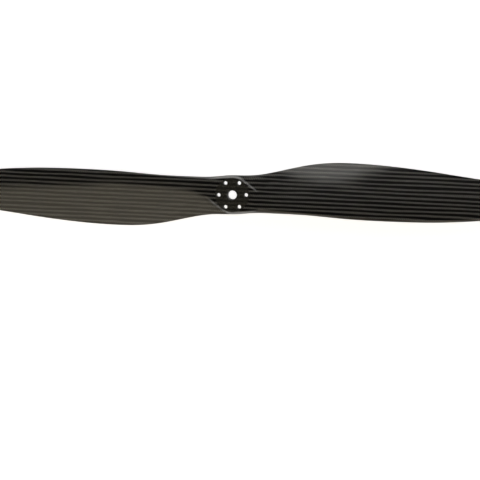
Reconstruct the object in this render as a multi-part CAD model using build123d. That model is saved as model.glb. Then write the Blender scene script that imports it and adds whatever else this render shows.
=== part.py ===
"""Two-blade fixed-pitch propeller for a large multirotor, 28 inches across, in moulded carbon fibre.

Frame: the bore runs along +Z and the origin is its centre on the hub's lower (motor) face. The blades
lie along X. Seen from +Z it turns clockwise: the right blade's leading edge faces -Y, the left's +Y.
Everything is symmetric under a half turn about Z, so each blade is described once, by its radius r
and by s, the distance from the blade axis towards the trailing edge.
"""

from build123d import *
import math
import os

# ---------------------------------------------------------------- driving dimensions, in millimetres
TIP_RADIUS = 355.6
PITCH = 233.7
HUB_THICKNESS = 10.0
BORE_RADIUS = 4.0
BOLT_HOLE_RADIUS = 1.7
BOLT_CIRCLE_RADIUS = 12.5
BOLT_COUNT = 6
HOLE_CHAMFER = 0.3
BORE_CHAMFER = 0.9
FACING_DEPTH = 0.1
FACING_RADIUS = 15.2

SKIN = 0.5
GLUE = 0.05
HUB_GLUE = 0.2
PLIES = 0.6
HUB_END = 26.0
INNER_END = 330.0
TIP_INSERT_END = 347.0
# These change evenly from the hub to the tip.
ROVING_WIDTH = (3.0, 1.0)
CAP_POSITION = (0.34, 0.45)
CAP_WIDTH = (12.0, 3.0)
CAP_THICKNESS = (0.8, 0.2)

# Blade stations: radius, edge-to-axis distance at the leading and trailing edge, section thickness.
STATIONS = (
    (0.0, 17.9, 17.9, 6.0),
    (18.0, 16.7, 17.9, 8.6),
    (36.0, 16.9, 20.3, 8.3),
    (55.0, 17.7, 24.3, 6.9),
    (73.0, 18.9, 27.5, 6.0),
    (91.0, 20.6, 28.9, 5.4),
    (109.0, 22.1, 28.6, 4.9),
    (146.0, 24.0, 25.6, 4.1),
    (182.0, 24.7, 20.8, 3.5),
    (224.0, 23.0, 14.2, 2.9),
    (268.0, 19.0, 8.7, 2.4),
    (312.0, 13.7, 4.6, 1.9),
    (355.6, 7.6, 2.2, 1.5),
)
PITCH_FADE = (8.0, 115.0)
AXIS_DROP = 4.2
AXIS_FADE = (12.0, 90.0)
CAMBER = 0.045
CAMBER_PEAK = 0.4
CAMBER_FADE = (15.0, 90.0)
EDGE_LAND = 0.15
TRAILING_LAND = 0.4
TRAILING_FADE = (4.0, 40.0)
TIP_ROUND = (338.0, 355.9)
SYMMETRY_FADE = (0.0, 40.0)

# The hub's raised flats: a disc that runs out along a tangent into each blade.
DISC_RADIUS = 15.9
RIM_INSET = 2.0
RIM_SLOPE = 2.5
TANGENT_ANGLE = 53.7
RUN_OUT_START = 16.0
RUN_OUT_SLOPE = 0.16
BLEND = 0.8

# Where the lofts have their sections, and how many spans each curve in a section has.
HUB_STATIONS = [0, 3, 6, 8, 10, 12, 14, 16, 18, 20, 22, 24]
ROOT_STATIONS = [26, 30, 35, 40, 47, 55, 65, 77, 91, 109]
BLADE_STATIONS = [*ROOT_STATIONS, 128, 146, 164, 182, 203, 224, 246, 268, 290, 312, 328]
TIP_STATIONS = [338, 343, 347, 350, 352.4, 354, 355, TIP_RADIUS]
CURVE_POINTS = 28
FILL_POINTS = 10
HUB_POINTS = 28


# ---------------------------------------------------------------- blade laws
def smoothstep(low, high, x):
    t = min(1.0, max(0.0, (x - low) / (high - low)))
    return t * t * (3 - 2 * t)


def natural_spline(knots, values):
    """A C2 curve through the stations, as a function of the radius. Its slope is zero at the hub."""
    n = len(knots)
    gaps = [b - a for a, b in zip(knots, knots[1:])]
    slopes = [(b - a) / h for a, b, h in zip(values, values[1:], gaps)]
    lower, diagonal, upper, right = [0.0] * n, [2.0] * n, [0.0] * n, [0.0] * n
    upper[0] = 1.0
    right[0] = 6 * slopes[0] / gaps[0]
    for i in range(1, n - 1):
        total = gaps[i - 1] + gaps[i]
        lower[i], upper[i] = gaps[i - 1] / total, gaps[i] / total
        right[i] = 6 * (slopes[i] - slopes[i - 1]) / total
    for i in range(1, n):
        share = lower[i] / diagonal[i - 1]
        diagonal[i] -= share * upper[i - 1]
        right[i] -= share * right[i - 1]
    bend = [0.0] * n
    for i in reversed(range(n - 1)):
        bend[i] = (right[i] - upper[i] * bend[i + 1]) / diagonal[i]

    def value(x):
        i = max(k for k in range(n - 1) if knots[k] <= x or k == 0)
        h, a, b = gaps[i], knots[i + 1] - x, x - knots[i]
        cubic = (bend[i] * a**3 + bend[i + 1] * b**3) / (6 * h)
        return cubic + (values[i] / h - bend[i] * h / 6) * a + (values[i + 1] / h - bend[i + 1] * h / 6) * b

    return value


RADII = [row[0] for row in STATIONS]
leading_offset = natural_spline(RADII, [row[1] for row in STATIONS])
trailing_offset = natural_spline(RADII, [row[2] for row in STATIONS])
thickness_at = natural_spline(RADII, [row[3] for row in STATIONS])


def edges_at(r):
    """s of the leading edge (negative) and of the trailing edge, rounded off at the tip."""
    middle = (trailing_offset(r) - leading_offset(r)) / 2
    half = (trailing_offset(r) + leading_offset(r)) / 2
    q = max(0.0, (r - TIP_ROUND[0]) / (TIP_ROUND[1] - TIP_ROUND[0]))
    half *= math.sqrt(1 - q * q)
    return middle - half, middle + half


def twist_slope(r):
    """Tangent of the pitch angle: the true helix outboard, fading out towards the hub."""
    if r <= PITCH_FADE[0]:
        return 0.0
    return PITCH / (2 * math.pi * r) * smoothstep(*PITCH_FADE, r)


def chord_line(r, s):
    axis = HUB_THICKNESS / 2 - AXIS_DROP * smoothstep(*AXIS_FADE, r)
    return axis - s * twist_slope(r)


def camber_at(u, chord, r):
    """The four-digit mean line, which rises in front of its peak and falls behind it."""
    p = CAMBER_PEAK
    height = CAMBER * chord * smoothstep(*CAMBER_FADE, r)
    if u < p:
        return height * (2 * p * u - u * u) / p**2
    return height * (1 - 2 * p + 2 * p * u - u * u) / (1 - p) ** 2


def thickness_share(u, r):
    """The four-digit thickness form, 1 at its thickest, turning into an ellipse at the hub's centre."""
    form = 0.2969 * math.sqrt(u) - 0.126 * u - 0.3516 * u**2 + 0.2843 * u**3 - 0.1036 * u**4
    ellipse = math.sqrt(1 - (2 * u - 1) ** 2)
    share = smoothstep(*SYMMETRY_FADE, r)
    return share * form / 0.10 + (1 - share) * ellipse


def smooth_max(a, b, reach=BLEND):
    near = max(0.0, 1 - abs(a - b) / reach)
    return max(a, b) + reach * near**3 / 6


def outside_flat(r, s, rim):
    """How far a point lies outside the hub's raised flat, which runs out on the side where s is negative."""
    angle = math.radians(TANGENT_ANGLE)
    along = r * math.sin(angle) - s * math.cos(angle)
    across = r * math.cos(angle) + s * math.sin(angle)
    to_disc = (across if along > 0 else math.hypot(r, s)) - DISC_RADIUS
    return max(to_disc, -s - (rim - RIM_INSET))


def flat_height(r, s, rim):
    """Height above the hub's middle plane of the raised flat and its sloping rim."""
    run_out = RUN_OUT_SLOPE * smooth_max(r - RUN_OUT_START, 0.0, 8.0)
    wall = RIM_SLOPE * smooth_max(outside_flat(r, s, rim), 0.0, 1.2)
    return HUB_THICKNESS / 2 + FACING_DEPTH - max(0.0, run_out - RUN_OUT_SLOPE * 8.0 / 6) - wall


def surfaces(r, s):
    """z of the outer mould surface at (r, s): lower, mean and upper."""
    front, back = edges_at(r)
    chord = back - front
    u = min(1.0, max(0.0, (s - front) / chord))
    land = EDGE_LAND + (TRAILING_LAND - EDGE_LAND) * u**2 * smoothstep(*TRAILING_FADE, r)
    half = thickness_at(r) / 2 * thickness_share(u, r) + land
    line = chord_line(r, s)
    mean = line + camber_at(u, chord, r)
    middle = HUB_THICKNESS / 2
    upper, lower = mean + half, mean - half
    top = middle + flat_height(r, s, -front)
    bottom = middle - flat_height(r, -s, back)
    upper = max(upper, smooth_max(upper, top))
    lower = min(lower, -smooth_max(-lower, -bottom))
    return lower, mean, upper


def eroded(r, s, side, depth):
    """z of the surface that lies depth inside the outer one, as a disc of that radius rolls under it."""
    sign = 1 if side == "upper" else -1
    column = 2 if side == "upper" else 0
    angles = [math.pi * k / 12 for k in range(-6, 7)]
    heights = [sign * surfaces(r, s + depth * math.sin(a))[column] - depth * math.cos(a) for a in angles]
    best = min(heights)
    mean = sign * surfaces(r, s)[1]
    return sign * (mean + smooth_max(best - mean, GLUE / 2, 0.3))


# ---------------------------------------------------------------- lofting
def spaced(low, high, count=CURVE_POINTS):
    """Values from low to high, closer together at both ends."""
    return [low + (high - low) * (1 - math.cos(math.pi * k / count)) / 2 for k in range(count + 1)]


def edge_through(points):
    if len(points) == 2:
        return Edge.make_line(*points)
    uniform = [k / (len(points) - 1) for k in range(len(points))]
    return Edge.make_spline(points, parameters=uniform)


def section(x, runs):
    """A closed wire across the blade at x.

    The runs are lists of (s, z), each starting where the one before ends, anticlockwise with s to the
    right and z up. The left blade's are walked the other way, so that all wires turn the same way.
    """
    if x < 0:
        runs = [list(reversed(run)) for run in [runs[0], *reversed(runs[1:])]]
    flip = 1 if x >= 0 else -1
    return Wire([edge_through([Vector(x, flip * s, z) for s, z in run]) for run in runs])


def closed_by_lines(*curves):
    """The curves joined end to end by straight runs into one closed outline."""
    runs = []
    for curve, following in zip(curves, [*curves[1:], curves[0]]):
        runs += [curve, [curve[-1], following[0]]]
    return runs


def lofted(stations, runs_at):
    """A solid through the sections at these x stations. runs_at(r) gives the runs of one outline."""
    return Solid.make_loft([section(x, runs_at(abs(x))) for x in stations])


def inner_span(r):
    """s of the front and back ends of the hollow between the skins."""
    front, back = edges_at(r)
    return front + 0.8 + 0.6 * smoothstep(60, 300, r), back - 1.6 - 3.8 * smoothstep(0, 170, r)


def tapered(ends, r):
    return ends[0] + (ends[1] - ends[0]) * r / INNER_END


def cap_span(r):
    """s of the front and back edges of the spar caps."""
    front, back = edges_at(r)
    middle = front + tapered(CAP_POSITION, r) * (back - front)
    half = tapered(CAP_WIDTH, r) / 2
    return middle - half, middle + half


def offset_curve(r, side, depth, start, end, count=CURVE_POINTS):
    """Points (s, z) from start to end on the surface that lies depth inside the mould surface."""
    return [(s, eroded(r, s, side, depth)) for s in spaced(start, end, count)]


# ---------------------------------------------------------------- the pieces' sections
def skin_runs(side, r):
    """Half of the shell: mould surface, edge lands, bonding laps on the parting line, and the inside."""
    sign = 1 if side == "upper" else -1
    start, end = edges_at(r)[::-sign]
    outer = [(s, surfaces(r, s)[1 + sign]) for s in spaced(start, end)]
    inner = offset_curve(r, side, SKIN, end + sign * SKIN, start - sign * SKIN)
    end_part = (end, surfaces(r, end)[1] + sign * GLUE / 2)
    start_part = (start, surfaces(r, start)[1] + sign * GLUE / 2)
    end_runs = [[outer[-1], end_part], [end_part, inner[0]]]
    start_runs = [[inner[-1], start_part], [start_part, outer[0]]]
    return [outer, *end_runs, inner, *start_runs]


def cap_runs(side, r):
    start, end = cap_span(r)[:: -1 if side == "upper" else 1]
    depth = SKIN + GLUE
    outer = offset_curve(r, side, depth, start, end, FILL_POINTS)
    inner = offset_curve(r, side, depth + tapered(CAP_THICKNESS, r), end, start, FILL_POINTS)
    return closed_by_lines(outer, inner)


def across_runs(r, start, end, depth=SKIN + GLUE, count=FILL_POINTS):
    """Everything from start to end of s, at this depth below both mould surfaces."""
    lower = offset_curve(r, "lower", depth, start, end, count)
    return closed_by_lines(lower, offset_curve(r, "upper", depth, end, start, count))


def hub_runs(r):
    return across_runs(r, *inner_span(r), SKIN + HUB_GLUE, HUB_POINTS)


def tip_runs(r):
    return across_runs(r, *inner_span(r))


def roving_runs(r):
    start = inner_span(r)[0]
    return across_runs(r, start, start + tapered(ROVING_WIDTH, r))


def front_foam_runs(r):
    return across_runs(r, inner_span(r)[0] + tapered(ROVING_WIDTH, r) + GLUE, cap_span(r)[0] - GLUE)


def web_runs(r):
    return across_runs(r, *cap_span(r), SKIN + tapered(CAP_THICKNESS, r) + 2 * GLUE)


def rear_foam_runs(r):
    return across_runs(r, cap_span(r)[1] + GLUE, inner_span(r)[1])


# ---------------------------------------------------------------- hub holes
def hole(radius, chamfer):
    """The tools for a through hole with a chamfered upper rim."""
    over = 1.0
    upward = (Align.CENTER, Align.CENTER, Align.MIN)
    shaft = Cylinder(radius, HUB_THICKNESS + 2 * over, align=upward)
    rim = Cone(radius, radius + chamfer + over, chamfer + over, align=upward)
    return [Pos(0, 0, -over) * shaft, Pos(0, 0, HUB_THICKNESS - chamfer) * rim]


def drilled(solid):
    """The solid with the centre bore and the bolt circle cut through it."""
    tools = hole(BORE_RADIUS, BORE_CHAMFER)
    for spot in PolarLocations(BOLT_CIRCLE_RADIUS, BOLT_COUNT, rotate=False):
        tools += [spot * tool for tool in hole(BOLT_HOLE_RADIUS, HOLE_CHAMFER)]
    return solid - tools


def faced(solid):
    """The solid with both of the hub's flats machined level, in a round area about the bore."""
    above = Cylinder(FACING_RADIUS, HUB_THICKNESS, align=(Align.CENTER, Align.CENTER, Align.MIN))
    return solid - [Pos(0, 0, HUB_THICKNESS) * above, Pos(0, 0, -HUB_THICKNESS) * above]


def layer(solid, low, high):
    """The part of the solid between two heights, without the crumbs where it only just reaches in."""
    slab = Box(4 * HUB_END, 4 * HUB_END, high - low, align=(Align.CENTER, Align.CENTER, Align.MIN))
    return (solid & Pos(0, 0, low) * slab).solids().sort_by(SortBy.VOLUME)[-1]


# ---------------------------------------------------------------- the pieces
def both_ways(stations):
    return sorted({-x for x in stations} | set(stations))


def blade_range(low, high):
    """Stations from low to high, low and high included."""
    return [low, *[x for x in BLADE_STATIONS if low + 1 < x < high - 1], high]


def right_and_left(name, low, high, runs_at):
    """The same piece for each blade."""
    stations = blade_range(low, high)
    mirrored = [-x for x in reversed(stations)]
    return {f"right_{name}": lofted(stations, runs_at), f"left_{name}": lofted(mirrored, runs_at)}


full_span = both_ways(HUB_STATIONS + BLADE_STATIONS + TIP_STATIONS)
pieces = {}
for side in ("upper", "lower"):
    skin = lofted(full_span, lambda r: skin_runs(side, r))
    pieces[f"{side}_skin"] = drilled(faced(skin))

hub_block = drilled(lofted(both_ways([*HUB_STATIONS, HUB_END]), hub_runs))
lower_ply_top = SKIN + HUB_GLUE + PLIES - FACING_DEPTH
upper_ply_base = HUB_THICKNESS - lower_ply_top
pieces["lower_hub_doubler"] = layer(hub_block, -HUB_THICKNESS, lower_ply_top)
pieces["hub_core"] = layer(hub_block, lower_ply_top + GLUE, upper_ply_base - GLUE)
pieces["upper_hub_doubler"] = layer(hub_block, upper_ply_base, 2 * HUB_THICKNESS)

root = HUB_END + GLUE
pieces |= right_and_left("leading_edge_roving", root, INNER_END, roving_runs)
pieces |= right_and_left("front_foam", root, INNER_END, front_foam_runs)
pieces |= right_and_left("spar_web", root, INNER_END, web_runs)
pieces |= right_and_left("rear_foam", root, INNER_END, rear_foam_runs)
pieces |= right_and_left("upper_spar_cap", root, INNER_END, lambda r: cap_runs("upper", r))
pieces |= right_and_left("lower_spar_cap", root, INNER_END, lambda r: cap_runs("lower", r))
pieces |= right_and_left("tip_insert", INNER_END + GLUE, TIP_INSERT_END, tip_runs)

os.makedirs("parts", exist_ok=True)
for name, piece in pieces.items():
    export_step(piece, f"parts/{name}.step")
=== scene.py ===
"""The looks of a two-blade carbon fibre propeller for a large multirotor, 28 inches across.

The bore runs along +Z with the origin in its centre on the motor face. The blades lie along X, and seen
from above the propeller turns clockwise, so the right blade's leading edge faces -Y and the left's +Y.
Blade shapes are worked out in millimetres and turned to metres when a mesh is made.
"""

import math

import bmesh
import bpy
import numpy as np
from mathutils import Matrix, Vector


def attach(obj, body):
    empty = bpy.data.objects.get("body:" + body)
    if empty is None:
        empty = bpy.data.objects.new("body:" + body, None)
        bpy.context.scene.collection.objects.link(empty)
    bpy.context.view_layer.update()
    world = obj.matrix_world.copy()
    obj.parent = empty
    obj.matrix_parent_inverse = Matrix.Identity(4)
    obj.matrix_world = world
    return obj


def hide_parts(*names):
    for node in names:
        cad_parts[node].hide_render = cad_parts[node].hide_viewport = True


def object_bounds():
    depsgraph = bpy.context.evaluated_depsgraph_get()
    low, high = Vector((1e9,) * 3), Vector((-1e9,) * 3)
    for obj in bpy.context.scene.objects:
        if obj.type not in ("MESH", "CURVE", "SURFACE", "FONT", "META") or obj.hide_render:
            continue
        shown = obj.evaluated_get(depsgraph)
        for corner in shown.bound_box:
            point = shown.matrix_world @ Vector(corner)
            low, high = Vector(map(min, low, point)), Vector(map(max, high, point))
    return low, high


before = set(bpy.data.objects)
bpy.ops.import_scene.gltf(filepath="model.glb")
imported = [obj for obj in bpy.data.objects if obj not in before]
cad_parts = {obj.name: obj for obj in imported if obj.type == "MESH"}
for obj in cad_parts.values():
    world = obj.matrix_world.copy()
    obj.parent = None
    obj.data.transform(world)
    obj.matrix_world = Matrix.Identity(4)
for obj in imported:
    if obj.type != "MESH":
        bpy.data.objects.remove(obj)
start_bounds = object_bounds()
scene = bpy.context.scene

# ------------------------------------------------------------------------------------------- camera
# Almost straight above the hub, leaning a little towards +X and +Y, close enough to lose both tips.
lens_mm, film_mm, view_width_m = 100.0, 36.0, 0.4378
lean = math.tan(math.radians(4.2))
aim = Vector((0.0067, -0.0412, 0.005))
back = Vector((lean, lean, 1.0)).normalized()
lens = bpy.data.cameras.new("camera")
lens.lens, lens.sensor_width = lens_mm, film_mm
camera = bpy.data.objects.new("camera", lens)
camera.location = aim + back * (view_width_m / film_mm * lens_mm)
right = Vector((0.0, 1.0, 0.0)).cross(back).normalized()
camera.rotation_euler = Matrix((right, back.cross(right), back)).transposed().to_euler()
scene.collection.objects.link(camera)
scene.camera = camera
scene.view_settings.view_transform = "Standard"


# -------------------------------------------------------------------------------------------- light
# A plain soft studio without lamps. A warm panel stands along the -Y side up to the dark ceiling, a
# lower and brighter neutral one along the +Y side, and the room is white near the floor.
def linear(code):
    """A colour in linear light from sRGB hex."""
    parts = [int(code[i : i + 2], 16) / 255 for i in (1, 3, 5)]
    return [*[c / 12.92 if c <= 0.04045 else ((c + 0.055) / 1.055) ** 2.4 for c in parts], 1.0]


def add(tree, kind, inputs=(), output=0, **settings):
    """Adds a shader node and returns one output, or the node itself where output is None.

    Inputs are sockets to link or values to set: a list in the node's order, or by name or number.
    """
    made = tree.nodes.new("ShaderNode" + kind)
    for name, value in settings.items():
        setattr(made, name, value)
    for name, value in inputs.items() if isinstance(inputs, dict) else enumerate(inputs):
        if isinstance(value, bpy.types.NodeSocket):
            tree.links.new(value, made.inputs[name])
        else:
            made.inputs[name].default_value = value
    return made if output is None else made.outputs[output]


# Settings that many nodes share: a range that eases in and out, and a mix of two colours.
eased = {"interpolation_type": "SMOOTHSTEP"}
as_color = {"output": 2, "data_type": "RGBA"}

# Each panel's ends are directions: the share of the way up to the zenith, or across to +Y.
world = bpy.data.worlds.new("studio")
scene.world = world
world.use_nodes = True
tree = world.node_tree
tree.nodes.clear()
facing = add(tree, "SeparateXYZ", [add(tree, "TexCoord")], output=None)
across, upward = facing.outputs[1], facing.outputs[2]
below_ceiling = add(tree, "MapRange", [upward, 0.83, 0.9, 1.0, 0.0], **eased)
on_warm_side = add(tree, "MapRange", [across, -0.3, -0.05, 1.0, 0.0], **eased)
warm_panel = add(tree, "Math", [below_ceiling, on_warm_side], operation="MULTIPLY")
below_cool_top = add(tree, "MapRange", [upward, 0.56, 0.68, 1.0, 0.0], **eased)
on_cool_side = add(tree, "MapRange", [across, 0.1, 0.35], **eased)
cool_panel = add(tree, "Math", [below_cool_top, on_cool_side], operation="MULTIPLY")
near_floor = add(tree, "MapRange", [upward, 0.3, 0.4, 1.0, 0.0], **eased)
room = add(tree, "Mix", {0: below_ceiling, 6: linear("#111111"), 7: linear("#302f2e")}, **as_color)
room = add(tree, "Mix", {0: warm_panel, 6: room, 7: linear("#f2e6cc")}, **as_color)
room = add(tree, "Mix", {0: cool_panel, 6: room, 7: linear("#f4f2ec")}, **as_color)
room = add(tree, "Mix", {0: near_floor, 6: room, 7: linear("#ffffff")}, **as_color)
level = add(tree, "Math", [cool_panel, 0.9, 1.15], operation="MULTIPLY_ADD")
shine = add(tree, "Background", [room, level])
add(tree, "OutputWorld", [shine], output=None)


# -------------------------------------------------------------------------------------------- floor
# A white table top just under the lowest point of the blades, lit from inside so that it stays white.
def new_material(name):
    made = bpy.data.materials.new(name)
    made.use_nodes = True
    made.node_tree.nodes.clear()
    return made, made.node_tree


def mesh_object(name, points, faces, material):
    mesh = bpy.data.meshes.new(name)
    mesh.from_pydata([tuple(p) for p in points], [], [tuple(f) for f in faces])
    mesh.materials.append(material)
    made = bpy.data.objects.new(name, mesh)
    scene.collection.objects.link(made)
    return made


# White acrylic, cast and lit from below: nearly flat white, with a very faint unevenness.
acrylic, tree = new_material("lit_white_acrylic")
cloud = add(tree, "TexNoise", {"Scale": 3.0, "Detail": 2.0})
white = add(tree, "Mix", {0: cloud, 6: linear("#f8f8f8"), 7: linear("#fefefe")}, **as_color)
glow = {"Emission Color": white, "Emission Strength": 0.72}
surface = add(tree, "BsdfPrincipled", {"Base Color": white, "Roughness": 0.6, **glow})
add(tree, "OutputMaterial", [surface], output=None)

floor_gap_m, floor_reach_m = 0.0002, 12.0
floor_z = start_bounds[0].z - floor_gap_m
corners = [(i * floor_reach_m, j * floor_reach_m, floor_z) for i, j in ((-1, -1), (1, -1), (1, 1), (-1, 1))]
floor = mesh_object("floor", corners, [(0, 1, 2, 3)], acrylic)

# --------------------------------------------------------------------------------------- upper skin
# The upper half of the shell: carbon fibre twill laid in a female mould with its wales along the span,
# soaked in epoxy and clear-coated. It runs from tip to tip over the hub, where the holes are drilled
# after the halves are bonded and their rims lightly chamfered.
tip_radius, pitch, hub_height = 355.6, 233.7, 10.0
bore_radius, bolt_radius, bolt_circle, bolts = 4.0, 1.7, 12.5, 6
bore_chamfer, bolt_chamfer = 0.9, 0.3
skin_mm, glue_mm = 0.5, 0.05
tip_round_start, tip_round_length = 338.0, 17.9
# The hub's raised flats: a disc that runs out along a tangent into each blade, with sloping rims.
disc_radius, rim_inset, rim_slope, rim_rounding = 15.9, 2.0, 2.5, 1.2
tangent = math.radians(53.7)
run_out_start, run_out_slope, run_out_rounding = 16.0, 0.16, 8.0
# How far the blade's axis drops below the hub's middle, its camber, and the thickness of its edges.
axis_drop, camber_share, edge_land, trailing_land = 4.2, 0.045, 0.15, 0.25
# Radius, edge-to-axis distance at the leading and trailing edge, and section thickness.
stations = np.array(
    (
        (0.0, 17.9, 17.9, 6.0),
        (18.0, 16.7, 17.9, 8.6),
        (36.0, 16.9, 20.3, 8.3),
        (55.0, 17.7, 24.3, 6.9),
        (73.0, 18.9, 27.5, 6.0),
        (91.0, 20.6, 28.9, 5.4),
        (109.0, 22.1, 28.6, 4.9),
        (146.0, 24.0, 25.6, 4.1),
        (182.0, 24.7, 20.8, 3.5),
        (224.0, 23.0, 14.2, 2.9),
        (268.0, 19.0, 8.7, 2.4),
        (312.0, 13.7, 4.6, 1.9),
        (355.6, 7.6, 2.2, 1.5),
    )
)


def smoothstep(low, high, x):
    t = np.clip((x - low) / (high - low), 0, 1)
    return t * t * (3 - 2 * t)


def spline(knots, values):
    """The C2 curve through the stations, level at the hub."""
    n = len(knots)
    gap = np.diff(knots)
    slope = np.diff(values) / gap
    system, right = np.eye(n) * 2, np.zeros(n)
    system[0, 1], right[0] = 1, 6 * slope[0] / gap[0]
    for i in range(1, n - 1):
        total = gap[i - 1] + gap[i]
        system[i, i - 1], system[i, i + 1] = gap[i - 1] / total, gap[i] / total
        right[i] = 6 * (slope[i] - slope[i - 1]) / total
    bend = np.linalg.solve(system, right)

    def value(x):
        i = np.clip(np.searchsorted(knots, x, side="right") - 1, 0, n - 2)
        h, a, b = gap[i], knots[i + 1] - x, x - knots[i]
        line = (values[i] / h - bend[i] * h / 6) * a + (values[i + 1] / h - bend[i + 1] * h / 6) * b
        return (bend[i] * a**3 + bend[i + 1] * b**3) / (6 * h) + line

    return value


leading, trailing, thick = (spline(stations[:, 0], stations[:, k]) for k in (1, 2, 3))


def edges_at(r):
    """s of the leading edge (negative) and of the trailing edge, rounded off at the tip."""
    middle = (trailing(r) - leading(r)) / 2
    q = np.maximum(0, (r - tip_round_start) / tip_round_length)
    half = (trailing(r) + leading(r)) / 2 * np.sqrt(1 - q * q)
    return middle - half, middle + half


def smooth_max(a, b, reach):
    near = np.maximum(0, 1 - np.abs(a - b) / reach)
    return np.maximum(a, b) + reach * near**3 / 6


def flat_height(r, s, rim):
    """Height above the hub's middle plane of the raised flat, its sloping rim and its run-out."""
    along = r * math.sin(tangent) - s * math.cos(tangent)
    over = r * math.cos(tangent) + s * math.sin(tangent)
    outside = np.maximum(np.where(along > 0, over, np.hypot(r, s)) - disc_radius, -s - (rim - rim_inset))
    run_out = run_out_slope * smooth_max(r - run_out_start, 0.0, run_out_rounding)
    fall = np.maximum(0, run_out - run_out_slope * run_out_rounding / 6)
    return hub_height / 2 - fall - rim_slope * smooth_max(outside, 0.0, rim_rounding)


def surfaces(r, s):
    """z of the lower, mean and upper surface, in millimetres, at radius r and s towards the trailing edge."""
    front, rear = edges_at(r)
    chord = rear - front
    u = np.clip((s - front) / chord, 0, 1)
    land = edge_land + trailing_land * u**2 * smoothstep(4.0, 40.0, r)
    # The four-digit thickness form and mean line, whose camber peaks at 40 % of the chord.
    airfoil = (0.2969 * np.sqrt(u) - 0.126 * u - 0.3516 * u**2 + 0.2843 * u**3 - 0.1036 * u**4) / 0.10
    share = smoothstep(0.0, 40.0, r)
    form = share * airfoil + (1 - share) * np.sqrt(np.maximum(0, 1 - (2 * u - 1) ** 2))
    half = thick(r) / 2 * form + land
    twist = pitch / (2 * math.pi * np.maximum(r, 8.0)) * smoothstep(8.0, 115.0, r)
    rise = camber_share * chord * smoothstep(15.0, 90.0, r)
    camber = np.where(u < 0.4, (0.8 * u - u * u) / 0.16, (0.2 + 0.8 * u - u * u) / 0.36) * rise
    mean = hub_height / 2 - axis_drop * smoothstep(12.0, 90.0, r) - s * twist + camber
    upper, lower = mean + half, mean - half
    top = hub_height / 2 + flat_height(r, s, -front)
    bottom = hub_height / 2 - flat_height(r, -s, rear)
    upper = np.maximum(upper, smooth_max(upper, top, 0.8))
    lower = np.minimum(lower, -smooth_max(-lower, -bottom, 0.8))
    return lower, mean, upper


def eroded(r, s, sign, depth):
    """z of the surface that lies depth inside the upper (sign 1) or lower (sign -1) mould surface."""
    heights = [
        sign * surfaces(r, s + depth * math.sin(a))[1 + sign] - depth * math.cos(a)
        for a in np.linspace(-math.pi / 2, math.pi / 2, 9)
    ]
    mean = sign * surfaces(r, s)[1]
    return sign * (mean + smooth_max(np.minimum.reduce(heights) - mean, glue_mm / 2, 0.3))


def lofted(name, x, s, z, first_run, clockwise, material):
    """A closed mesh through one outline per x, given by rows of s and z in millimetres.

    An outline has two runs, one along each way; first_run is the number of points in the first. On the
    left blade both are walked backwards, so that the outlines meet point for point at the hub.
    """
    count = s.shape[1]
    turned = [*range(first_run - 1, -1, -1), *range(count - 1, first_run - 1, -1)]
    flip = (x < 0)[:, None]
    y = np.where(flip, -s[:, turned], s)
    z = np.where(flip, z[:, turned], z)
    points = np.stack([np.broadcast_to(x[:, None], y.shape), y, z], axis=2).reshape(-1, 3) * 0.001
    n = np.arange((len(x) - 1) * count).reshape(-1, count)
    beside = np.roll(n, -1, axis=1)
    quads = np.stack([n, n + count, beside + count, beside], axis=2).reshape(-1, 4)
    first = list(range(count))
    last = [(len(x) - 1) * count + k for k in first][::-1]
    faces = [*quads.tolist(), first, last]
    if not clockwise:
        faces = [face[::-1] for face in faces]
    return mesh_object(name, points, faces, material)


def shell_half(name, sign, material):
    """One half of the shell as a closed mesh, from tip to tip, with its outlines closest at the hub."""
    fine_end, outer_count, inner_count = 34.0, 130, 25
    hub = np.arange(0.0, fine_end, 0.5)
    blade = np.arange(fine_end, tip_round_start, 2.0)
    tip = tip_radius - (tip_radius - tip_round_start) * (1 - np.sin(np.linspace(0, math.pi / 2, 24)))
    half_span = np.concatenate([hub, blade, tip])
    x = np.concatenate([-half_span[:0:-1], half_span])
    r = np.abs(x)[:, None]
    front, rear = edges_at(r)
    ease = np.linspace(0, 1, outer_count)
    ease = (ease + (1 - np.cos(math.pi * ease)) / 2) / 2
    outer_s = front + (rear - front) * ease
    outer_z = surfaces(r, outer_s)[1 + sign]
    inner_s = (rear - skin_mm) + (front - rear + 2 * skin_mm) * np.linspace(0, 1, inner_count)
    inner_z = eroded(r, inner_s, sign, skin_mm)
    lap_rear = surfaces(r, rear)[1] + sign * glue_mm / 2
    lap_front = surfaces(r, front)[1] + sign * glue_mm / 2
    s = np.concatenate([outer_s, rear, inner_s, front], axis=1)
    z = np.concatenate([outer_z, lap_rear, inner_z, lap_front], axis=1)
    return lofted(name, x, s, z, outer_count, sign > 0, material)


def smooth(target):
    """Shades the mesh smooth, apart from edges that turn by more than 32 degrees."""
    for face in target.data.polygons:
        face.use_smooth = True
    target.data.set_sharp_from_angle(angle=math.radians(32))


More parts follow.
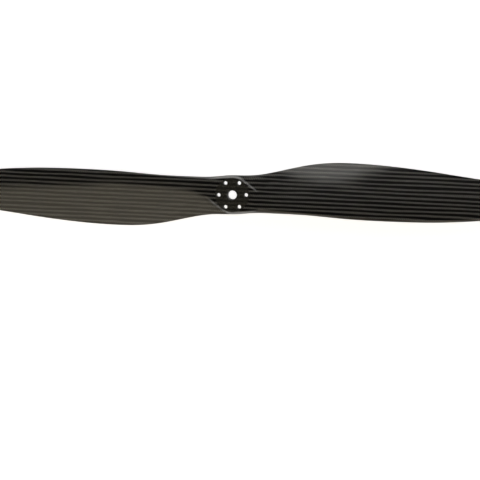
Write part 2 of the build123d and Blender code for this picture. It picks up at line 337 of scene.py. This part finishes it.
def drill(target):
    """Cuts the bore and the bolt holes, each chamfered at the top."""
    below, over = -3.0, 2.0
    mesh = bmesh.new()
    spots = [(0.0, 0.0, bore_radius, bore_chamfer, 96)]
    for k in range(bolts):
        turn = math.radians(360 / bolts * k)
        place = (bolt_circle * math.cos(turn), bolt_circle * math.sin(turn))
        spots.append((*place, bolt_radius, bolt_chamfer, 56))
    for cx, cy, radius, chamfer, sides in spots:
        rim = (radius + chamfer + over, hub_height + over)
        rings = []
        for width, height in ((radius, below), (radius, hub_height - chamfer), rim):
            ring = []
            for k in range(sides):
                turn = 2 * math.pi * (k + 0.5) / sides
                place = (cx + width * math.cos(turn), cy + width * math.sin(turn), height)
                ring.append(mesh.verts.new([v * 0.001 for v in place]))
            rings.append(ring)
        for low, high in zip(rings, rings[1:]):
            for k in range(sides):
                mesh.faces.new((low[k], low[(k + 1) % sides], high[(k + 1) % sides], high[k]))
        mesh.faces.new(rings[0][::-1])
        mesh.faces.new(rings[-1])
    data = bpy.data.meshes.new("drills")
    mesh.to_mesh(data)
    mesh.free()
    cutter = bpy.data.objects.new("drills", data)
    scene.collection.objects.link(cutter)
    cut = target.modifiers.new("drilled", "BOOLEAN")
    cut.object, cut.operation, cut.solver = cutter, "DIFFERENCE", "EXACT"
    bpy.context.view_layer.update()
    drilled = bpy.data.meshes.new_from_object(target.evaluated_get(bpy.context.evaluated_depsgraph_get()))
    target.modifiers.clear()
    target.data = drilled
    bpy.data.objects.remove(cutter)
    smooth(target)


def place_piece(made, node):
    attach(made, "root")
    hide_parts(node)


def millimetres(tree, x=1.0, y=1.0, z=1.0):
    """The object's coordinates in millimetres, each multiplied by its own factor."""
    place = add(tree, "TexCoord", output=3)
    return add(tree, "VectorMath", [place, (1000 * x, 1000 * y, 1000 * z)], operation="MULTIPLY")


# Flat carbon tows woven two over, two under, in a glossy moulded clear coat. The warp tows are painted
# lighter as a painted sheen, the light they would catch, and the weft stays nearly black, so the wales
# show as bands. The cloth lies 2.6 degrees askew, wanders by up to a millimetre, and is 4.5 % denser
# seen from above because the blades slope.
tow_mm, askew, denser, wander_mm = 1.414, 0.045, 1.045, 2.2
carbon_twill, tree = new_material("clear_coated_carbon_twill")
place = add(tree, "SeparateXYZ", [add(tree, "TexCoord", output=3)], output=None)
x = add(tree, "Math", [place.outputs[0], 1000.0], operation="MULTIPLY")
y = add(tree, "Math", [place.outputs[1], 1000.0], operation="MULTIPLY")
y = add(tree, "Math", [y, denser], operation="MULTIPLY")
y = add(tree, "Math", [x, askew, y], operation="MULTIPLY_ADD")
wander = add(tree, "TexNoise", {"Scale": 9.0, "Detail": 1.0})
y = add(tree, "Math", [wander, wander_mm, y], operation="MULTIPLY_ADD")
# a counts the warp tows and b the weft tows, which lie at +45 and -45 degrees to the span.
per_tow = 1 / (math.sqrt(2) * tow_mm)
a = add(tree, "Math", [add(tree, "Math", [y, x], operation="ADD"), per_tow], operation="MULTIPLY")
b = add(tree, "Math", [add(tree, "Math", [y, x], operation="SUBTRACT"), per_tow], operation="MULTIPLY")
warp_row = add(tree, "Math", [a], operation="FLOOR")
weft_row = add(tree, "Math", [b], operation="FLOOR")
warp_step = add(tree, "Math", [warp_row, b], operation="ADD")
warp_step = add(tree, "Math", [warp_step, 4.0], operation="FLOORED_MODULO")
weft_step = add(tree, "Math", [weft_row, a], operation="ADD")
weft_step = add(tree, "Math", [weft_step, 4.0], operation="FLOORED_MODULO")
warp_over = add(tree, "Math", [warp_step, 2.0], operation="LESS_THAN")


def float_height(position, step, start):
    """A tow's float: rounded across its width and arched between the places where it dives."""
    off = add(tree, "Math", [position], operation="FRACT")
    off = add(tree, "Math", [off, 0.5], operation="SUBTRACT")
    crown = add(tree, "Math", [off, off], operation="MULTIPLY")
    crown = add(tree, "Math", [crown, 3.0], operation="MULTIPLY")
    crown = add(tree, "Math", [1.0, crown], operation="SUBTRACT")
    run = add(tree, "Math", [step, start], operation="SUBTRACT")
    run = add(tree, "Math", [run, math.pi / 2], operation="MULTIPLY")
    arch = add(tree, "Math", [run], operation="SINE")
    arch = add(tree, "Math", [arch, 0.0], operation="MAXIMUM")
    arch = add(tree, "Math", [arch, 0.25], operation="POWER")
    return add(tree, "Math", [crown, arch], operation="MULTIPLY")


def fibre_streaks(across_tow, along_tow):
    """Noise in streaks that follow a tow, 0.1 mm wide and about 2 mm long."""
    fine = add(tree, "Math", [across_tow, 14.0], operation="MULTIPLY")
    long = add(tree, "Math", [along_tow, 0.8], operation="MULTIPLY")
    return add(tree, "TexNoise", {"Vector": add(tree, "CombineXYZ", [fine, long]), "Scale": 1.0})


warp_height, weft_height = float_height(a, warp_step, 0.0), float_height(b, weft_step, 2.0)
height = add(tree, "Mix", {0: warp_over, 2: weft_height, 3: warp_height})
fibres = add(tree, "Mix", {0: warp_over, 2: fibre_streaks(b, a), 3: fibre_streaks(a, b)})
fibres = add(tree, "MapRange", [fibres, 0.3, 0.7], **eased)
# Painted sheen: the warp's greys stand in for light caught by the tows; the weft's near-black is the fibre's
# own.
warp_painted_sheen = add(tree, "Mix", {0: fibres, 6: linear("#444441"), 7: linear("#636260")}, **as_color)
weft_color = add(tree, "Mix", {0: fibres, 6: linear("#030303"), 7: linear("#0b0b0b")}, **as_color)
tows_with_painted_sheen = add(tree, "Mix", {0: warp_over, 6: weft_color, 7: warp_painted_sheen}, **as_color)
# Where a tow's crown falls away at its edges and ends it turns nearly black: partly the resin gaps between
# tows, partly painted shade.
gap_and_painted_shade = add(tree, "MapRange", [height, 0.38, 0.76], **eased)
color = add(tree, "Mix", {0: gap_and_painted_shade, 6: linear("#020202"), 7: tows_with_painted_sheen}, **as_color)
# The round land on each hub face is sanded flat through the gloss, which cuts the tows into specks.
radius = add(tree, "VectorMath", [millimetres(tree, z=0.0)], output=1, operation="LENGTH")
from_middle = add(tree, "Math", [place.outputs[2], 1000.0, -hub_height / 2], operation="MULTIPLY_ADD")
from_middle = add(tree, "Math", [from_middle], operation="ABSOLUTE")
in_disc = add(tree, "MapRange", [radius, 15.4, 15.7, 1.0, 0.0], **eased)
on_face = add(tree, "MapRange", [from_middle, 4.8, 4.9], **eased)
land = add(tree, "Math", [in_disc, on_face], operation="MULTIPLY")
specks = add(tree, "TexNoise", {"Vector": millimetres(tree), "Scale": 1.7, "Detail": 1.0})
specks = add(tree, "MapRange", [specks, 0.44, 0.62], **eased)
# The bared warp is painted lighter than the bared weft: painted sheen over the sanded fibre's own grey.
bared_with_painted_sheen = add(tree, "Mix", {0: warp_over, 6: linear("#32312d"), 7: linear("#4c4b45")}, **as_color)
sanded = add(tree, "Mix", {0: specks, 6: linear("#080808"), 7: bared_with_painted_sheen}, **as_color)
color = add(tree, "Mix", {0: land, 6: color, 7: sanded}, **as_color)
rough = add(tree, "MapRange", {0: fibres, 3: 0.56, 4: 0.48})
rough = add(tree, "Mix", {0: land, 2: rough, 3: 0.5})
# The weave stands 0.12 mm deep under the coat, of which 0.02 mm shows through on the coat itself.
weave = add(tree, "Bump", {"Strength": 1.0, "Distance": 0.00012, "Height": height})
print_through = add(tree, "Bump", {"Strength": 1.0, "Distance": 0.00002, "Height": height})
coat = {
    "Coat Weight": add(tree, "Math", [land, -0.8, 1.0], operation="MULTIPLY_ADD"),
    "Coat Roughness": 0.04,
    "Coat IOR": 1.5,
    "Coat Normal": print_through,
}
# Fibres soaked in resin of nearly their own index hardly shine by themselves.
cloth = {"Base Color": color, "Specular IOR Level": 0.05, "Roughness": rough, "Normal": weave}
surface = add(tree, "BsdfPrincipled", {**cloth, **coat})
add(tree, "OutputMaterial", [surface], output=None)

upper_skin = shell_half("upper_skin_shell", 1, carbon_twill)
drill(upper_skin)
place_piece(upper_skin, "upper_skin")

# --------------------------------------------------------------------------------------- lower skin
# The lower half of the shell, of the same clear-coated carbon twill, moulded separately and bonded to
# the upper half along the edges. Its hub face, which sits on the motor, is flat.
lower_skin = shell_half("lower_skin_shell", -1, carbon_twill)
drill(lower_skin)
place_piece(lower_skin, "lower_skin")

# ----------------------------------------------------------------------------------------- hub core
# The block that keeps the hub from being crushed by its screws: chopped carbon fibre and epoxy, hot
# pressed to shape. It is bonded in before the shell is closed and drilled together with it.
hub_glue_mm, ply_mm, hub_end = 0.2, 0.6, 26.0
ply_top = skin_mm + hub_glue_mm + ply_mm


def inner_span(r):
    """s of the front and back ends of the hollow between the skins."""
    front, rear = edges_at(r)
    return front + 0.8 + 0.6 * smoothstep(60, 300, r), rear - 1.6 - 3.8 * smoothstep(0, 170, r)


def between(r, start, end, depth, count=20):
    """Outlines from start to end of s that keep this depth below both mould surfaces."""
    s = start + (end - start) * np.linspace(0, 1, count)
    z = np.concatenate([eroded(r, s, -1, depth), eroded(r, s[:, ::-1], 1, depth)], axis=1)
    return np.concatenate([s, s[:, ::-1]], axis=1), z


def hub_layer(name, low, high, material):
    """The part of the hub's filling between two heights, without crumbs, drilled like the shell."""
    x = np.linspace(-hub_end, hub_end, 105)
    r = np.abs(x)[:, None]
    across_count = 60
    s, z = between(r, *inner_span(r), skin_mm + hub_glue_mm, across_count)
    made = lofted(name, x, s, z, across_count, False, material)
    mesh = bmesh.new()
    mesh.from_mesh(made.data)
    for height, facing in ((low, -1), (high, 1)):
        geometry = [*mesh.verts, *mesh.edges, *mesh.faces]
        plane = {"plane_co": (0, 0, height * 0.001), "plane_no": (0, 0, facing)}
        cut = bmesh.ops.bisect_plane(mesh, geom=geometry, dist=1e-8, clear_outer=True, **plane)
        rim = [item for item in cut["geom_cut"] if isinstance(item, bmesh.types.BMEdge)]
        bmesh.ops.contextual_create(mesh, geom=rim)
    seen, islands = set(), []
    for seed in mesh.verts:
        if seed in seen:
            continue
        island, waiting = {seed}, [seed]
        while waiting:
            for edge in waiting.pop().link_edges:
                for vert in edge.verts:
                    if vert not in island:
                        island.add(vert)
                        waiting.append(vert)
        seen |= island
        islands.append(island)
    keep = max(islands, key=len)
    bmesh.ops.delete(mesh, geom=[vert for vert in mesh.verts if vert not in keep], context="VERTS")
    bmesh.ops.recalc_face_normals(mesh, faces=mesh.faces)
    mesh.to_mesh(made.data)
    mesh.free()
    drill(made)
    return made


def finish_opaque(tree, color, rough, height, depth_mm, anisotropic=0.0):
    """Joins up an opaque surface whose bump is this deep."""
    bump = add(tree, "Bump", {"Strength": 1.0, "Distance": depth_mm * 0.001, "Height": height})
    inputs = {"Base Color": color, "Roughness": rough, "Normal": bump, "Anisotropic": anisotropic}
    add(tree, "OutputMaterial", [add(tree, "BsdfPrincipled", inputs)], output=None)


# Chopped carbon and epoxy out of a hot press: flat chips about 3 mm long and half a millimetre thick,
# each its own grey, with fine streaks of fibre.
chopped, tree = new_material("pressed_chopped_carbon")
chips = add(tree, "TexVoronoi", {"Vector": millimetres(tree, 0.3, 0.55, 1.6), "Scale": 1.0}, output=1)
shade = add(tree, "Math", [add(tree, "SeparateColor", [chips]), 0.6], operation="MULTIPLY")
streaks = add(tree, "TexNoise", {"Vector": millimetres(tree, 0.8, 7.0, 7.0), "Scale": 1.0})
shade = add(tree, "Math", [streaks, 0.5, shade], operation="MULTIPLY_ADD")
color = add(tree, "Mix", {0: shade, 6: linear("#191919"), 7: linear("#4b4b4a")}, **as_color)
rough = add(tree, "MapRange", {0: streaks, 3: 0.42, 4: 0.6})
finish_opaque(tree, color, rough, streaks, 0.03)
hub_core = hub_layer("hub_core_block", ply_top + glue_mm, hub_height - ply_top - glue_mm, chopped)
place_piece(hub_core, "hub_core")

# ------------------------------------------------------------------------------------- hub doublers
# Stacks of carbon plies above and below the core, which spread the clamping load into the skins. They
# are laid up in the shell halves, cured with them and drilled with the rest of the hub.
clear_of_hub = 20.0
# Cured plies: bands 0.4 mm apart on the cut edge, broken up by the ends of the fibres.
plies, tree = new_material("cured_carbon_plies")
wave = {"Vector": millimetres(tree), "Scale": 0.8, "Distortion": 0.6}
layers = add(tree, "TexWave", wave, output=1, bands_direction="Z")
threads = add(tree, "TexNoise", {"Vector": millimetres(tree, 0.5, 6.0, 9.0), "Scale": 1.0})
shade = add(tree, "Math", [layers, threads], operation="MULTIPLY")
color = add(tree, "Mix", {0: shade, 6: linear("#161616"), 7: linear("#454443")}, **as_color)
rough = add(tree, "MapRange", {0: threads, 3: 0.45, 4: 0.6})
finish_opaque(tree, color, rough, threads, 0.03)
lower_doubler = hub_layer("lower_doubler_plies", -clear_of_hub, ply_top, plies)
place_piece(lower_doubler, "lower_hub_doubler")
upper_doubler = hub_layer("upper_doubler_plies", hub_height - ply_top, clear_of_hub, plies)
place_piece(upper_doubler, "upper_hub_doubler")

# -------------------------------------------------------------------------------------- foam cores
# Closed-cell foam in front of and behind the spar of each blade, milled to shape and glued between the
# skins. It keeps the thin shell from buckling.
inner_start, inner_end = hub_end + glue_mm, 330.0
fill_depth = skin_mm + glue_mm
# These widths, and the spar's place across the chord, change evenly from the hub to the tip.
roving_width, cap_width, cap_position = (3.0, 1.0), (12.0, 3.0), (0.34, 0.45)


def tapered(ends, r):
    return ends[0] + (ends[1] - ends[0]) * r / inner_end


def cap_span(r):
    """s of the front and back edges of the spar caps."""
    front, rear = edges_at(r)
    middle = front + tapered(cap_position, r) * (rear - front)
    half = tapered(cap_width, r) / 2
    return middle - half, middle + half


def blade_pair(node, low, high, outline_at, material):
    """The same piece in both blades, a half turn apart. outline_at(r) gives its rows of s and z."""
    x = np.concatenate([np.arange(low, high - 2.0, 3.0), [high]])
    s, z = outline_at(x[:, None])
    for side, turn in (("right", 1), ("left", -1)):
        made = lofted(f"{side}_{node}_body", x, s, z, s.shape[1] // 2, False, material)
        made.data.transform(Matrix.Diagonal((turn, turn, 1, 1)))
        smooth(made)
        place_piece(made, f"{side}_{node}")


def front_foam(r):
    start = inner_span(r)[0] + tapered(roving_width, r) + glue_mm
    return between(r, start, cap_span(r)[0] - glue_mm, fill_depth)


def rear_foam(r):
    return between(r, cap_span(r)[1] + glue_mm, inner_span(r)[1], fill_depth)


# Closed-cell foam cut by a mill: cream, matt, with open cells about 0.4 mm wide on the cut faces.
foam, tree = new_material("milled_closed_cell_foam")
cells = add(tree, "TexVoronoi", {"Vector": millimetres(tree), "Scale": 2.5})
hollow = add(tree, "MapRange", [cells, 0.1, 0.7], **eased)
tint = add(tree, "TexNoise", {"Vector": millimetres(tree), "Scale": 0.05})
cream = add(tree, "Mix", {0: tint, 6: linear("#e6dfc6"), 7: linear("#f1ecd9")}, **as_color)
# The pits of the open cells are painted a darker cream: painted shade inside the cells.
color = add(tree, "Mix", {0: hollow, 6: linear("#cfc6a8"), 7: cream}, **as_color)
rough = add(tree, "MapRange", {0: hollow, 3: 0.95, 4: 0.85})
finish_opaque(tree, color, rough, hollow, 0.15)
blade_pair("front_foam", inner_start, inner_end, front_foam, foam)
blade_pair("rear_foam", inner_start, inner_end, rear_foam, foam)

# ---------------------------------------------------------------------------------------- spar webs
# A strip of balsa between the foams of each blade, sawn with its grain along the span and planed to
# the section. With the caps on its faces it makes the spar.
cap_mm = (0.8, 0.2)


def web(r):
    return between(r, *cap_span(r), skin_mm + tapered(cap_mm, r) + 2 * glue_mm)


# Sawn balsa: pale and silky, with long streaks 0.4 mm wide and fine brown pores along the grain.
balsa, tree = new_material("sawn_balsa")
along_grain = millimetres(tree, 0.04, 2.5, 2.5)
grain = add(tree, "TexNoise", {"Vector": along_grain, "Scale": 1.0, "Detail": 4.0})
pores = add(tree, "TexNoise", {"Vector": millimetres(tree, 0.25, 9.0, 9.0), "Scale": 1.0})
rings = add(tree, "MapRange", [grain, 0.35, 0.65], **eased)
wood = add(tree, "Mix", {0: rings, 6: linear("#cdb384"), 7: linear("#e3cfa6")}, **as_color)
open_pores = add(tree, "MapRange", [pores, 0.62, 0.72], **eased)
color = add(tree, "Mix", {0: open_pores, 6: wood, 7: linear("#a98c5c")}, **as_color)
rough = add(tree, "MapRange", {0: grain, 3: 0.7, 4: 0.85})
finish_opaque(tree, color, rough, pores, 0.05)
blade_pair("spar_web", inner_start, inner_end, web, balsa)

# ---------------------------------------------------------------------------------------- spar caps
# Straps of unidirectional carbon tape on the upper and lower face of each web. They carry the
# centrifugal load and the bending, and thin out towards the tip.
def cap(sign):
    """Outlines of the strap between the skin and the web, on the upper (1) or lower (-1) side."""

    def outline_at(r):
        start, end = cap_span(r)
        s = start + (end - start) * np.linspace(0, 1, 12)
        outer = eroded(r, s, sign, fill_depth)
        inner = eroded(r, s, sign, fill_depth + tapered(cap_mm, r))
        low, high = (inner, outer) if sign > 0 else (outer, inner)
        return np.concatenate([s, s[:, ::-1]], axis=1), np.concatenate([low, high[:, ::-1]], axis=1)

    return outline_at


# Carbon tape cured under a peel ply: straight fibres, whose gloss is drawn out across them.
tape, tree = new_material("cured_unidirectional_carbon_tape")
along_span = millimetres(tree, 0.05, 8.0, 8.0)
fibre = add(tree, "TexNoise", {"Vector": along_span, "Scale": 1.0, "Detail": 3.0})
strands = add(tree, "MapRange", [fibre, 0.3, 0.7], **eased)
color = add(tree, "Mix", {0: strands, 6: linear("#1a1a1b"), 7: linear("#4a4a4c")}, **as_color)
rough = add(tree, "MapRange", {0: fibre, 3: 0.3, 4: 0.45})
finish_opaque(tree, color, rough, fibre, 0.03, anisotropic=0.4)
blade_pair("upper_spar_cap", inner_start, inner_end, cap(1), tape)
blade_pair("lower_spar_cap", inner_start, inner_end, cap(-1), tape)


# ------------------------------------------------------------------------------ leading-edge roving
# A bundle of carbon roving laid wet along each leading edge, where it fills the nose of the shell and
# takes the knocks.
def nose(r):
    start = inner_span(r)[0]
    return between(r, start, start + tapered(roving_width, r), fill_depth)


# Roving soaked in epoxy by hand: strands 0.2 mm wide, wet and glossy in some places, dry in others.
roving, tree = new_material("wet_laid_carbon_roving")
along_span = millimetres(tree, 0.08, 5.0, 5.0)
strand = add(tree, "TexNoise", {"Vector": along_span, "Scale": 1.0, "Detail": 2.0})
resin = add(tree, "TexNoise", {"Vector": millimetres(tree, 0.1, 0.4, 0.4), "Scale": 1.0})
bundle = add(tree, "MapRange", [strand, 0.35, 0.65], **eased)
color = add(tree, "Mix", {0: bundle, 6: linear("#121213"), 7: linear("#3c3c3e")}, **as_color)
rough = add(tree, "MapRange", {0: resin, 3: 0.2, 4: 0.5})
finish_opaque(tree, color, rough, strand, 0.06)
blade_pair("leading_edge_roving", inner_start, inner_end, nose, roving)


# -------------------------------------------------------------------------------------- tip inserts
# Epoxy thickened with chopped fibre, poured into each tip before the halves are closed. It ties the
# skins together and is where the blades are balanced.
def tip_filling(r):
    return between(r, *inner_span(r), fill_depth)


# Poured fibre-filled epoxy: buff and clouded, with dark flecks of fibre about a millimetre long.
putty, tree = new_material("poured_fibre_filled_epoxy")
blobs = add(tree, "TexNoise", {"Vector": millimetres(tree), "Scale": 0.6, "Detail": 5.0})
flecks = add(tree, "TexNoise", {"Vector": millimetres(tree, 3.0, 0.8, 3.0), "Scale": 1.0})
buff = add(tree, "Mix", {0: blobs, 6: linear("#8d8468"), 7: linear("#a99f82")}, **as_color)
dark = add(tree, "MapRange", [flecks, 0.58, 0.68], **eased)
color = add(tree, "Mix", {0: dark, 6: buff, 7: linear("#4e4a3d")}, **as_color)
rough = add(tree, "MapRange", {0: blobs, 3: 0.35, 4: 0.6})
finish_opaque(tree, color, rough, blobs, 0.08)
tip_insert_end = 347.0
blade_pair("tip_insert", inner_end + glue_mm, tip_insert_end, tip_filling, putty)
